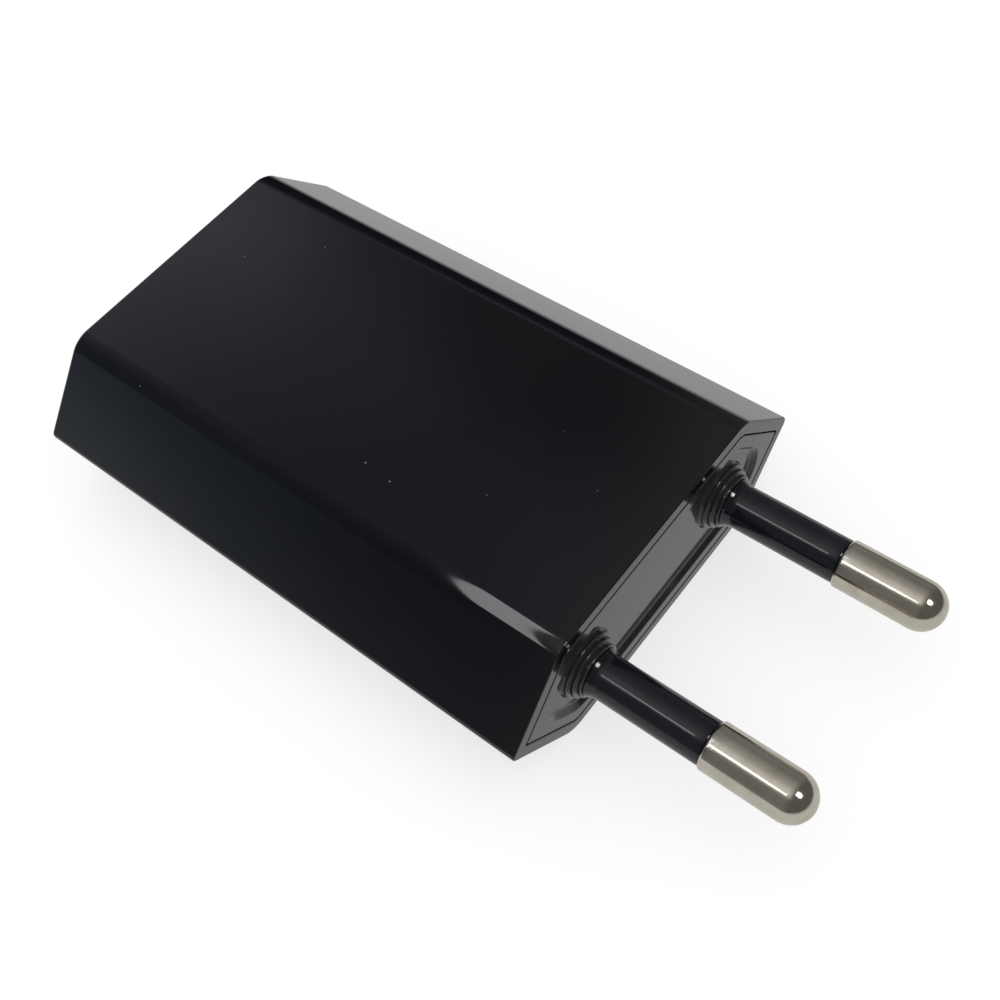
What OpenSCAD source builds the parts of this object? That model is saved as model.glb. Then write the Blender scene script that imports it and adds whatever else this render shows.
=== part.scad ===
// Slim two-pin mains charger with one usb socket.
// +Y runs out along the mains pins, -Y is the usb end, +Z is up and the
// lower flat lies on z = 0. The origin is under the middle of the whole length.

/* [Case] */
// Width across the two side edges, before they are rounded
body_w = 36.8; // [33:0.1:46]
// Thickness between the two flats
body_t = 13.7; // [13:0.1:18]
// Length of the case without the pins
body_l = 52.2; // [50:0.1:80]
// Width of each flat, between the bevels
flat_w = 23.6; // [20:0.1:28]
// Wall of the case
wall = 1.5; // [1.2:0.05:2]
// End wall round the usb opening
end_wall = 1.8; // [1.2:0.1:3]
// Rounding where a flat meets a bevel
edge_r = 2.6; // [0.5:0.1:4]
// Rounding of the two side edges
side_r = 0.6; // [0.3:0.1:1.5]
// Width of the case rim that shows round the pin plate
rim_w = 1.15; // [0.8:0.05:1.4]

/* [Pin plate] */
// Thickness of the pin plate
plate_t = 2; // [1.6:0.1:3]
// Gap between the plate and the case rim
seam = 0.12; // [0.05:0.01:0.3]
// Depth of the dished recess in the plate
recess_d = 0.45; // [0.2:0.05:1]
// Flat border left round the recess
border_w = 1.3; // [0.8:0.1:2.5]
// How far the lowest ring stands out from the sleeve
boss_w = 1.08; // [0.9:0.02:2]
// Height of one ring step
ring_h = 0.42; // [0.2:0.02:0.6]
// How much each ring is smaller than the one below it
ring_step = 0.6; // [0.3:0.05:0.8]
// Depth of the skirt behind the plate
skirt_l = 3; // [2:0.1:5]
// Wall of that skirt
skirt_t = 0.9; // [0.6:0.1:1.5]
// Gap between the skirt and the case
skirt_gap = 0.05; // [0.02:0.01:0.2]

/* [Mains pins] */
// Distance between the pin axes
pin_pitch = 18; // [17:0.1:19]
// Diameter of the bare metal tip
pin_d = 4; // [3:0.05:5]
// Length of a pin in front of the case
pin_l = 19; // [14:0.1:24]
// Length of the insulating sleeve in front of the case
sleeve_l = 10.6; // [6:0.1:12]
// How much thinner the sleeve is than the tip
sleeve_drop = 0.36; // [0.1:0.02:0.6]
// Wall of the sleeve
sleeve_t = 0.45; // [0.4:0.05:0.8]
// Height of the flared root of the sleeve
flare_h = 0.6; // [0.3:0.1:1.2]
// Rounding at the step from tip to sleeve
shoulder_r = 0.25; // [0.1:0.05:0.5]
// Diameter of the tail behind the plate
tail_d = 2.4; // [1.8:0.1:3]
// Length of that tail
tail_l = 1.6; // [1:0.1:3]
// Diameter of the collar that is moulded into the plate
collar_d = 4.6; // [4:0.1:5.4]
// Gap left all round a moulded-in or pushed-in piece
mould_gap = 0.02; // [0.01:0.01:0.05]

/* [Circuit board] */
// Thickness of the board
board_t = 1.2; // [0.8:0.1:1.6]
// Gap between the board and what holds it
board_gap = 0.25; // [0.1:0.05:0.5]
// Diameter of a component lead
lead_d = 0.6; // [0.4:0.05:0.8]
// How far a lead stands out below the board
lead_out = 0.85; // [0.5:0.05:1]
// Thickness of the sprung mains contacts
contact_t = 0.35; // [0.2:0.05:0.5]
// Width of the sprung mains contacts
contact_w = 3; // [2:0.1:4]

/* [Usb socket] */
// Inside width of the socket shield
usb_w = 12.5; // [12:0.05:13.5]
// Inside height of the socket shield
usb_h = 5.12; // [4.9:0.02:6]
// Depth of the shield
usb_l = 13; // [12:0.1:16]
// Sheet thickness of the shield
sheet = 0.3; // [0.2:0.02:0.4]
// Thickness of the tongue
tongue_t = 1.84; // [1.6:0.02:2]
// Width of the tongue
tongue_w = 11.1; // [10.4:0.1:11.6]
// Gap between the tongue and the shield above it
tongue_up = 0.66; // [0.6:0.02:1]
// How far the tongue stops short of the shield's mouth
tongue_back = 0.9; // [0.5:0.1:1.5]
// Width of a spring contact
arm_w = 1; // [0.7:0.05:1.1]
// Thickness of a spring contact
arm_t = 0.25; // [0.15:0.01:0.3]

/* [Hidden] */
$fn = 48;
eps = 0.01;

// Case
mid_z = body_t/2;
front_y = (body_l - pin_l)/2;
rear_y = front_y - body_l;
bevel = atan2(body_t/2, (body_w - flat_w)/2);
shell_in_y = rear_y + end_wall;

// Pins, from the engagement face outwards
sleeve_d = pin_d - sleeve_drop;
neck_d = sleeve_d - 2*sleeve_t;
socket_l = skirt_l;
plate_back = front_y - plate_t;
socket_back = plate_back - socket_l;
tail_y = socket_back - tail_l;
rings = 3;
boss_d = sleeve_d + 2*boss_w;
ring_top = front_y + (rings - 1)*ring_h;
sleeve_seat = plate_back + 0.5;
collar_l = 1;

// Board, set by the underside of the usb shield
board_top = mid_z - usb_h/2 - sheet - 0.05;
board_low = board_top - board_t;
board_half = half_at(board_low, wall) - board_gap;
board_front = socket_back - 0.7;
board_rear = shell_in_y + board_gap;
rib_in = board_half - 0.8;
rib_z = board_top + board_gap;
rib_h = 1.2;

// Usb socket, mouth first
mouth_y = shell_in_y + 0.1;
usb_back = mouth_y + usb_l;
tongue_tip = mouth_y + tongue_back;
base_y = mouth_y + 9.5;
tongue_z1 = mid_z + usb_h/2 - tongue_up;
tongue_z0 = tongue_z1 - tongue_t;
contact_x = [-3.5, -1, 1, 3.5];
groove_w = arm_w + 0.3;
groove_d = tongue_t/2;
arm_z = tongue_z0 + groove_d - 0.35;
pivot_y = base_y - 0.4;
finger_x = [-3.2, 3.2];
finger_w = 1.9;
finger_l = 4.2;
finger_y = mouth_y + 1.6;
notch_y = finger_y + finger_l + 1.2;
leg_y = mouth_y + 9;
leg_l = 2;

// The lying part of a lead is a little thinner than the part that stands in the board
bend_d = lead_d*0.9;

// Components on the board: place of each, then its leads
resistor_d = 2.8;
resistor_at = [-3.2, board_front - 4.2];
can_d = 6.3;
can_l = 11.5;
front_can_at = [-7.3, board_front - 7.4];
rear_can_at = [-0.7, board_front - 7.4];
choke_d = 3.5;
choke_at = [4.6, board_front - 13.9];
bridge_at = [6.8, board_front - 5.2];
start_at = [9.3, board_front - 10.4];
transistor_at = [9.2, board_front - 16.6];
trafo_at = [-5.4, usb_back + 6.3];
opto_at = [2.2, usb_back + 9.8];
safety_at = [2.2, usb_back + 4.2];
out_can_l = 9;
out_can_at = [7.6, usb_back + 10.6];
diode_at = [9.1, leg_y + 0.5];
load_at = [-9.1, leg_y + 0.5];

// Transformer
core_w = 10.2;
core_h = 5.1;
core_t = 4;
core_back = 1.4;
core_leg = 1.3;
core_mid = 2.4;
trafo_z = board_top + 4.05;
flange_t = 0.6;
tube_t = 0.4;
wind_build = 1.1;
tape_t = 0.15;
fit = 0.1;

// Half width of the case outline at height z, moved in by d
function half_at(z, d) = body_w/2 - d/sin(bevel) - abs(z - mid_z)/tan(bevel);
function unit(v) = v/norm(v);
// Corners of the six-sided outline moved in by d, round the middle of the case
function corners(d) = let (h = body_t/2 - d, a = half_at(mid_z, d), f = a - h/tan(bevel))
    [[a, 0], [f, h], [-f, h], [-a, 0], [-f, -h], [f, -h]];
// One side of a bent strip of thickness t that follows the points
function strip_side(pts, t) = [for (i = [0:len(pts) - 1])
    let (a = unit(i > 0 ? pts[i] - pts[i-1] : pts[1] - pts[0]),
         b = unit(i < len(pts) - 1 ? pts[i+1] - pts[i] : a),
         n = unit([-a[1] - b[1], a[0] + b[0]]))
    pts[i] + n*t/2/(n*[-a[1], a[0]])];
function backwards(list) = [for (i = [len(list) - 1:-1:0]) list[i]];
// Two leads on a line along Y (along = 1) or X (along = 0), pitch apart
function pair(at, pitch, along) = [for (s = [-1, 1])
    at + s*pitch/2*(along ? [0, 1] : [1, 0])];

resistor_leads = pair(resistor_at, 10, 0);
front_can_leads = pair(front_can_at + [0, 1.1], 2.5, 0);
rear_can_leads = pair(rear_can_at + [0, 1.1], 2.5, 0);
choke_leads = pair(choke_at, 11.6, 1);
start_leads = pair(start_at, 5.4, 1);
transistor_leads = [for (s = [-1:1]) transistor_at + [0, 1.5*s]];
trafo_leads = [for (x = [-2.6, 0, 2.6], s = [-1, 1]) trafo_at + [x, s*(core_h - 0.8)]];
safety_leads = pair(safety_at, 5, 1);
out_can_leads = pair(out_can_at + [0, 1.1], 2.5, 0);
diode_leads = pair(diode_at, 9, 1);
load_leads = pair(load_at, 8, 1);
all_leads = concat(resistor_leads, front_can_leads, rear_can_leads, choke_leads,
    start_leads, transistor_leads, trafo_leads, safety_leads, out_can_leads,
    diode_leads, load_leads);

// Polygon with each corner rounded by its own radius
module rounded(pts, radii) {
    n = len(pts);
    to = [for (i = [0:n-1]) unit(pts[(i+1)%n] - pts[i])];
    from = [for (i = [0:n-1]) unit(pts[(i+n-1)%n] - pts[i])];
    half = [for (i = [0:n-1]) acos(to[i]*from[i])/2];
    polygon([for (i = [0:n-1], v = [from[i], to[i]]) pts[i] + v*radii[i]/tan(half[i])]);
    for (i = [0:n-1])
        translate(pts[i] + unit(to[i] + from[i])*radii[i]/sin(half[i]))
            circle(r = radii[i]);
}

// Prism with the case outline moved in by d, from y back over length l
module case_prism(y, l, d) {
    e = max(edge_r - d, 0.4);
    s = max(side_r - d, 0.2);
    translate([0, y, mid_z])
        rotate([90, 0, 0])
            linear_extrude(l)
                rounded(corners(d), [s, e, e, s, e, e]);
}

// Cylinder of diameter d along Y from y over length l, at x and z
module rod_y(x, y, z, d, l) {
    translate([x, y, z])
        rotate([-90, 0, 0])
            cylinder(d = d, h = l);
}

// Cylinder along X from x over length l
module rod_x(x, y, z, d, l) {
    translate([x, y, z])
        rotate([0, 90, 0])
            cylinder(d = d, h = l);
}

// Bent strip of thickness t and width w, its points given as [y, z]
module strip(x, pts, t, w) {
    translate([x - w/2, 0, 0])
        rotate([90, 0, 90])
            linear_extrude(w)
                polygon(concat(strip_side(pts, t), backwards(strip_side(pts, -t))));
}

// Block centred on x, from y0 to y1 and z0 to z1
module block(x, w, y0, y1, z0, z1) {
    translate([x - w/2, y0, z0])
        cube([w, y1 - y0, z1 - z0]);
}

// Straight lead from height z down through the board
module lead(at, z) {
    translate([at[0], at[1], board_low - lead_out])
        cylinder(d = lead_d, h = z - board_low + lead_out);
}

module outer_shell() {
    color([0.03, 0.03, 0.035])
    union() {
        difference() {
            case_prism(front_y, body_l, 0);
            case_prism(front_y + eps, body_l - end_wall + eps, wall);
            case_prism(front_y + eps, plate_t + eps, rim_w);
            block(0, usb_w, rear_y - eps, shell_in_y + eps, mid_z - usb_h/2, mid_z + usb_h/2);
        }
        // Ribs that keep the board down on the lower bevels
        for (s = [-1, 1]) {
            out = half_at(rib_z, 0) - 0.4;
            block(s*(rib_in + out)/2, out - rib_in, shell_in_y - eps, board_front - 1,
                rib_z, rib_z + rib_h);
        }
    }
}

module pin_plate() {
    color([0.05, 0.05, 0.055])
    difference() {
        union() {
            difference() {
                case_prism(front_y, plate_t, rim_w + seam);
                case_prism(front_y + eps, recess_d + eps, rim_w + seam + border_w);
            }
            difference() {
                case_prism(plate_back + eps, skirt_l + eps, wall + skirt_gap);
                case_prism(plate_back + 2*eps, skirt_l + 4*eps, wall + skirt_gap + skirt_t);
            }
            for (s = [-1, 1]) {
                for (i = [0:rings-1])
                    rod_y(s*pin_pitch/2, plate_back + eps, mid_z, boss_d - i*ring_step,
                        plate_t + i*ring_h - eps);
                rod_y(s*pin_pitch/2, socket_back, mid_z, collar_d + 1.6, socket_l + 2*eps);
            }
        }
        for (s = [-1, 1]) {
            rod_y(s*pin_pitch/2, socket_back - eps, mid_z, neck_d + 2*mould_gap,
                plate_t + socket_l + ring_top - front_y + 2*eps);
            rod_y(s*pin_pitch/2, sleeve_seat, mid_z, sleeve_d + 2*mould_gap,
                ring_top - sleeve_seat + eps);
            rod_y(s*pin_pitch/2, plate_back - collar_l - 1 - mould_gap, mid_z,
                collar_d + 2*mould_gap, collar_l + 2*mould_gap);
        }
    }
}

// Turned pin: round-nosed tip, neck in the sleeve, collar in the plate and tail.
// The outline is radius against distance, measured from the engagement face.
module mains_pin(s) {
    r = pin_d/2;
    nose = pin_l - r;
    color([0.78, 0.76, 0.72])
    translate([s*pin_pitch/2, front_y, mid_z])
        rotate([-90, 0, 0]) {
            difference() {
                rotate_extrude()
                    polygon(concat(
                        [[0, tail_y - front_y], [tail_d/2 - 0.3, tail_y - front_y],
                         [tail_d/2, tail_y - front_y + 0.3], [tail_d/2, socket_back - front_y],
                         [neck_d/2, socket_back - front_y + 0.2], [neck_d/2, sleeve_l],
                         [r - shoulder_r, sleeve_l]],
                        [for (a = [15:15:90])
                            [r - shoulder_r + shoulder_r*sin(a), sleeve_l + shoulder_r - shoulder_r*cos(a)]],
                        [[r, nose], [0, nose]]));
            }
            translate([0, 0, nose])
                difference() {
                    sphere(r = r);
                    translate([-r - 1, -r - 1, -2*r - eps])
                        cube([2*r + 2, 2*r + 2, 2*r]);
                }
            translate([0, 0, plate_back - front_y - collar_l - 1])
                cylinder(d = collar_d, h = collar_l);
        }
}
module left_pin() mains_pin(-1);
module right_pin() mains_pin(1);

// Insulating tube on the neck, flared where it leaves the plate
module pin_sleeve(s) {
    bore = neck_d/2 + mould_gap;
    top = ring_top - front_y;
    flare = sleeve_d/2 + min(0.28, boss_w - (rings - 1)*ring_step/2 - 0.05);
    color([0.02, 0.022, 0.03])
    translate([s*pin_pitch/2, front_y, mid_z])
        rotate([-90, 0, 0])
            rotate_extrude()
                polygon([[bore, sleeve_seat - front_y + mould_gap],
                    [sleeve_d/2, sleeve_seat - front_y + mould_gap],
                    [sleeve_d/2, top + mould_gap], [flare, top + mould_gap],
                    [flare, top + flare_h/3],
                    [sleeve_d/2, top + flare_h], [sleeve_d/2, sleeve_l - mould_gap],
                    [bore, sleeve_l - mould_gap]]);
}
module left_pin_sleeve() pin_sleeve(-1);
module right_pin_sleeve() pin_sleeve(1);

// Bowed strip that stands in the board and presses on the end of a pin's tail
contact_foot_y = board_front - 1.6;
module contact_spring(s) {
    y1 = tail_y - contact_t/2 - mould_gap;
    color([0.82, 0.66, 0.32])
    strip(s*pin_pitch/2, [[contact_foot_y, board_low - lead_out],
        [contact_foot_y, board_top + 0.8], [contact_foot_y - 0.6, board_top + 1.5],
        [y1, mid_z - 0.5], [y1, mid_z + 0.5], [y1 - 0.7, mid_z + 1.8]],
        contact_t, contact_w);
}
module left_contact_spring() contact_spring(-1);
module right_contact_spring() contact_spring(1);

module circuit_board() {
    color([0.16, 0.36, 0.2])
    difference() {
        block(0, 2*board_half, board_rear, board_front, board_low, board_top);
        // Opening that the front of the usb socket hangs over
        block(0, usb_w + 2*sheet + 1, board_rear - eps, notch_y, board_low - eps, board_top + eps);
        for (at = all_leads)
            translate([at[0], at[1], board_low - eps])
                cylinder(d = lead_d + 0.2, h = board_t + 2*eps);
        for (s = [-1, 1]) {
            block(s*pin_pitch/2, contact_w + 0.2, contact_foot_y - contact_t/2 - 0.1,
                contact_foot_y + contact_t/2 + 0.1, board_low - eps, board_top + eps);
            block(s*(usb_w + sheet)/2, sheet + 0.3, leg_y - 0.15, leg_y + leg_l + 0.15,
                board_low - eps, board_top + eps);
        }
        for (x = contact_x)
            translate([x, usb_back + 0.5, board_low - eps])
                cylinder(d = arm_w + 0.3, h = board_t + 2*eps);
    }
}

// Fillet of solder round each lead, under the board
module solder_joints() {
    color([0.75, 0.76, 0.78])
    for (at = all_leads)
        translate([at[0], at[1], board_low - mould_gap])
            mirror([0, 0, 1])
                difference() {
                    cylinder(r1 = lead_d/2 + 0.45, r2 = lead_d/2 + 0.12, h = 0.55);
                    translate([0, 0, -eps])
                        cylinder(r = lead_d/2 + mould_gap, h = 1);
                }
}

// Part with a lead at each end, lying on the board along Y or X
module axial(at, d, l, leads, along) {
    z = board_top + d/2 + 0.15;
    span = norm(leads[1] - leads[0]);
    if (along) {
        rod_y(at[0], at[1] - l/2, z, d, l);
        rod_y(at[0], at[1] - span/2, z, bend_d, span);
    } else {
        rod_x(at[0] - l/2, at[1], z, d, l);
        rod_x(at[0] - span/2, at[1], z, bend_d, span);
    }
    for (p = leads)
        lead(p, z + lead_d/2);
}

module fusible_resistor() {
    color([0.35, 0.55, 0.4])
    union() {
        axial(resistor_at, resistor_d, 7.2, resistor_leads, false);
        // Wider end caps
        for (s = [-1, 1])
            rod_x(resistor_at[0] + s*3.1 - 0.5, resistor_at[1], board_top + resistor_d/2 + 0.15,
                resistor_d + 0.2, 1);
    }
}

module filter_choke() {
    color([0.35, 0.6, 0.35])
    axial(choke_at, choke_d, 8.6, choke_leads, true);
}

module start_resistor() {
    color([0.8, 0.7, 0.5])
    axial(start_at, 1.9, 3.4, start_leads, true);
}

module output_diode() {
    color([0.1, 0.1, 0.1])
    axial(diode_at, 2.7, 5.2, diode_leads, true);
}

module load_resistor() {
    color([0.8, 0.7, 0.5])
    axial(load_at, 1.9, 3.6, load_leads, true);
}

// Electrolytic can that lies along Y with both leads bent down at its front
module lying_can(at, l, leads) {
    z = board_top + can_d/2 + 0.15;
    difference() {
        rod_y(at[0], at[1] - l, z, can_d, l);
        // Crimped groove near the seal
        translate([at[0], at[1] - 1.8, z])
            rotate([-90, 0, 0])
                rotate_extrude()
                    translate([can_d/2, 0])
                        circle(r = 0.3);
    }
    for (p = leads) {
        lead(p, z + lead_d/2);
        rod_y(p[0], at[1] - eps, z, bend_d, p[1] - at[1] + eps);
    }
}

module front_input_capacitor() {
    color([0.12, 0.13, 0.16])
    lying_can(front_can_at, can_l, front_can_leads);
}

module rear_input_capacitor() {
    color([0.12, 0.13, 0.16])
    lying_can(rear_can_at, can_l, rear_can_leads);
}

module output_capacitor() {
    color([0.15, 0.2, 0.3])
    lying_can(out_can_at, out_can_l, out_can_leads);
}

// Small flat package with two gull-wing legs on each side, standing on pads
module flat_package(at, w, l, h, pitch) {
    z = board_top + 0.15;
    block(at[0], w, at[1] - l/2, at[1] + l/2, z, z + h);
    for (s = [-1, 1], p = [-1, 1])
        translate([at[0] + p*pitch/2, at[1] + s*l/2, 0])
            mirror([0, s > 0 ? 0 : 1, 0])
                strip(0, [[-0.1, z + h/2], [0.3, z + h/2], [0.4, z], [0.9, z]],
                    0.2, 0.6);
}

module bridge_rectifier() {
    color([0.1, 0.1, 0.1])
    flat_package(bridge_at, 4.7, 3.8, 2.4, 2.6);
}

module optocoupler() {
    color([0.92, 0.92, 0.9])
    flat_package(opto_at, 4, 2.6, 2, 2.5);
}

// Round-backed package with a flat face, standing on three leads
module switching_transistor() {
    z = board_top + 1.6;
    color([0.08, 0.08, 0.08])
    union() {
        translate([transistor_at[0], transistor_at[1], z])
            intersection() {
                cylinder(d = 4.8, h = 4.6);
                translate([-2.4, -2.4, -eps])
                    cube([3.7, 4.8, 5]);
            }
        for (p = transistor_leads)
            lead(p, z + eps);
    }
}

// Three-legged half of the ferrite core; s = 1 is the front half
module core_half(s) {
    gap = s > 0 ? 0.02 : 0;
    color([0.22, 0.22, 0.23])
    translate([trafo_at[0], trafo_at[1], trafo_z - core_t/2])
        mirror([0, s > 0 ? 0 : 1, 0])
            union() {
                translate([-core_w/2, core_h - core_back, 0])
                    cube([core_w, core_back, core_t]);
                for (x = [-core_w/2, -core_mid/2, core_w/2 - core_leg])
                    translate([x, gap, 0])
                        cube([x == -core_mid/2 ? core_mid : core_leg,
                            core_h - core_back - gap + eps, core_t]);
            }
}
module transformer_core_front() core_half(1);
module transformer_core_rear() core_half(-1);

wind_l = core_h - core_back - flange_t - fit;
tube_x = core_mid/2 + fit + tube_t;
tube_z = core_t/2 + fit + tube_t;

// Rectangular tube along Y round the core's middle leg, grown by g from the bobbin tube
module wound(g, half_l) {
    difference() {
        children();
        block(0, 2*(tube_x + g), -half_l - 1, half_l + 1, -tube_z - g, tube_z + g);
    }
}

module transformer_bobbin() {
    foot_z = trafo_z - core_t/2 - fit;
    color([0.12, 0.12, 0.12])
    difference() {
        translate([trafo_at[0], trafo_at[1], trafo_z])
            union() {
                block(0, 2*tube_x, -wind_l - flange_t, wind_l + flange_t, -tube_z, tube_z);
                for (s = [-1, 1]) {
                    mid = s*(wind_l + flange_t/2);
                    block(0, 2*(tube_x + wind_build + 0.5), mid - flange_t/2, mid + flange_t/2,
                        board_top + 0.1 - trafo_z, tube_z + wind_build + tape_t);
                    foot = s*(wind_l + core_h)/2;
                    block(0, 7.2, foot - (core_h - wind_l)/2, foot + (core_h - wind_l)/2,
                        board_top + 0.1 - trafo_z, foot_z - trafo_z);
                }
            }
        // Way through for the middle leg
        block(trafo_at[0], core_mid + 2*fit, trafo_at[1] - core_h, trafo_at[1] + core_h,
            trafo_z - core_t/2 - fit, trafo_z + core_t/2 + fit);
        for (p = trafo_leads)
            translate([p[0], p[1], board_top])
                cylinder(r = lead_d/2 + mould_gap, h = 1.3);
    }
}

module transformer_windings() {
    color([0.72, 0.36, 0.16])
    translate([trafo_at[0], trafo_at[1], trafo_z])
        wound(mould_gap, wind_l)
            block(0, 2*(tube_x + wind_build), -wind_l + mould_gap, wind_l - mould_gap,
                -tube_z - wind_build, tube_z + wind_build);
}

module winding_tape() {
    color([0.95, 0.8, 0.25])
    translate([trafo_at[0], trafo_at[1], trafo_z])
        wound(wind_build + mould_gap, wind_l)
            block(0, 2*(tube_x + wind_build + tape_t), -wind_l + 0.1, wind_l - 0.1,
                -tube_z - wind_build - tape_t, tube_z + wind_build + tape_t);
}

module transformer_terminals() {
    color([0.8, 0.8, 0.82])
    for (p = trafo_leads)
        lead(p, board_top + 1.25);
}

// Disc that stands on edge along Y
module safety_capacitor() {
    d = 6.4;
    z = board_top + d/2 + 0.9;
    color([0.15, 0.35, 0.75])
    union() {
        rod_x(safety_at[0] - 1.4, safety_at[1], z, d, 2.8);
        for (p = safety_leads)
            lead(p, z);
    }
}

// Chip resistors under the board, four near the mains end and three near the usb end
chip_places = concat(
    [for (c = [[-5, -9.6], [-0.5, -11.8], [-5, -14.4], [1.2, -15.6]]) [c[0], board_front + c[1]]],
    [for (c = [[5.4, 7.4], [-5.4, 6.3], [0, -2.8]]) [c[0], usb_back + c[1]]]);
module chip_resistors() {
    color([0.1, 0.1, 0.1])
    for (c = chip_places)
        block(c[0], 3.1, c[1] - 0.8, c[1] + 0.8,
            board_low - 0.57, board_low - mould_gap);
}

module usb_shield() {
    out_w = usb_w + 2*sheet;
    out_h = usb_h + 2*sheet;
    color([0.78, 0.79, 0.8])
    union() {
        difference() {
            block(0, out_w, mouth_y, usb_back, mid_z - out_h/2, mid_z + out_h/2);
            block(0, usb_w, mouth_y - eps, usb_back + eps, mid_z - usb_h/2, mid_z + usb_h/2);
            // Windows that the latch fingers move in
            for (x = finger_x, s = [-1, 1])
                block(x, finger_w + 0.6, finger_y - 0.25, finger_y + finger_l + 0.5,
                    mid_z + s*(usb_h + sheet)/2 - sheet, mid_z + s*(usb_h + sheet)/2 + sheet);
        }
        // Legs that stand in the board
        for (s = [-1, 1])
            block(s*(usb_w + sheet)/2, sheet, leg_y, leg_y + leg_l, board_low - lead_out,
                mid_z - usb_h/2);
    }
}

module usb_insulator() {
    color([0.95, 0.95, 0.93])
    difference() {
        union() {
            block(0, tongue_w, tongue_tip, base_y + eps, tongue_z0, tongue_z1);
            block(0, usb_w - 0.1, base_y, usb_back - 0.2, mid_z - usb_h/2 + 0.05,
                mid_z + usb_h/2 - 0.05);
        }
        for (x = contact_x) {
            block(x, groove_w, tongue_tip + 0.6, base_y + eps, tongue_z0 - eps,
                tongue_z0 + groove_d);
            block(x, arm_w + 2*mould_gap, base_y - eps, usb_back,
                arm_z - arm_t/2 - mould_gap, arm_z + arm_t/2 + mould_gap);
        }
    }
}

// Fixed ends of the contacts: through the insulator, then down into the board
module usb_contact_tails() {
    y1 = usb_back + 0.5;
    color([0.85, 0.68, 0.3])
    for (x = contact_x) {
        strip(x, [[pivot_y + 0.3, arm_z], [y1 - 0.3, arm_z], [y1, arm_z - 0.3],
            [y1, board_top + 0.6]], arm_t, arm_w);
        strip(x, [[y1, board_top + 0.6 + eps], [y1, board_low - lead_out]], arm_t, 0.7);
    }
}

// Spring contact: rounded root in the tongue's groove, crown below the tongue, tip turned up
module usb_contact_arms() {
    reach = pivot_y - tongue_tip - 0.6;
    crown = tongue_z0 - 0.42;
    color([0.9, 0.72, 0.3])
    for (x = contact_x)
        union() {
            strip(x, [[pivot_y, arm_z], [pivot_y - reach + 1.9, crown],
                [pivot_y - reach + 1.3, crown], [pivot_y - reach + 0.3, tongue_z0 + 0.1]],
                arm_t, arm_w);
            rod_x(x - arm_w/2, pivot_y, arm_z, arm_t, arm_w);
        }
}

// Latch fingers in the shield's windows, bent into the socket; s = 1 is the upper pair
module latch_fingers(s) {
    z = mid_z + s*(usb_h + sheet)/2;
    t = sheet - 0.02;
    color([0.8, 0.81, 0.82])
    for (x = finger_x)
        union() {
            strip(x, [[finger_y, z], [finger_y + 2.9, z - s*0.4], [finger_y + 3.3, z - s*0.4],
                [finger_y + finger_l, z - s*0.15]], t, finger_w);
            rod_x(x - finger_w/2, finger_y, z, t, finger_w);
        }
}
module upper_latch_fingers() latch_fingers(1);
module lower_latch_fingers() latch_fingers(-1);

outer_shell();
pin_plate();
left_pin();
right_pin();
left_pin_sleeve();
right_pin_sleeve();
left_contact_spring();
right_contact_spring();
circuit_board();
solder_joints();
fusible_resistor();
bridge_rectifier();
front_input_capacitor();
rear_input_capacitor();
filter_choke();
start_resistor();
switching_transistor();
transformer_core_front();
transformer_core_rear();
transformer_bobbin();
transformer_windings();
winding_tape();
transformer_terminals();
optocoupler();
safety_capacitor();
output_capacitor();
output_diode();
load_resistor();
chip_resistors();
usb_shield();
usb_insulator();
usb_contact_tails();
usb_contact_arms();
upper_latch_fingers();
lower_latch_fingers();
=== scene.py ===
import math

import bmesh
import bpy
from mathutils import Matrix, Vector


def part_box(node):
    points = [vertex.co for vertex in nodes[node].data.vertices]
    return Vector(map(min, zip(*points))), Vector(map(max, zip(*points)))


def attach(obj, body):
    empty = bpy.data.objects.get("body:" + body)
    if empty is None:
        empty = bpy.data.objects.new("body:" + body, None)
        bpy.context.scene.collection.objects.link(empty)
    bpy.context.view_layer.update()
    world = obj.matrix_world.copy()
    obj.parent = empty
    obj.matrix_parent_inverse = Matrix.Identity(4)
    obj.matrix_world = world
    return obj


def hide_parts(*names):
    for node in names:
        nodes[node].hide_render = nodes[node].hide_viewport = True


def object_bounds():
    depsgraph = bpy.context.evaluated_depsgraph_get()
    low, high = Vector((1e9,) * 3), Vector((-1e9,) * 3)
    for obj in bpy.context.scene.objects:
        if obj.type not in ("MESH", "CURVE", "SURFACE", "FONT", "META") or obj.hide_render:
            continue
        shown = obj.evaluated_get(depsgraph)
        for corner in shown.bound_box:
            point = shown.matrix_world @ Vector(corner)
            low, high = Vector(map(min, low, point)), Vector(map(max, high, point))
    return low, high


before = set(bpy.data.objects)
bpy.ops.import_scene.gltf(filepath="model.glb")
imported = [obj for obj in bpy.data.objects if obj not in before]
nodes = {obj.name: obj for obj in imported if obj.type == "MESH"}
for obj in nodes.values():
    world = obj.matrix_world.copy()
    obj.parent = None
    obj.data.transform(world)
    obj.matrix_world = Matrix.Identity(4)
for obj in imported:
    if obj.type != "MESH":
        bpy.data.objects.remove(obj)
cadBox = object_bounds()
mm = 0.001
slack = 0.01 * mm  # for picking vertices by their place
weldGap = 0.0005 * mm


# Work on meshes

def startClean():
    if bpy.context.mode != "OBJECT":
        bpy.ops.object.mode_set(mode="OBJECT")
    bpy.ops.object.select_all(action="DESELECT")


def workOn(piece):
    startClean()
    piece.select_set(True)
    bpy.context.view_layer.objects.active = piece


def placeIn(name):
    # names the newest primitive and puts its place and turn into its mesh
    piece = bpy.context.active_object
    piece.name = name
    piece.data.name = name
    bpy.ops.object.transform_apply(location=True, rotation=True, scale=True)
    return piece


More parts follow.
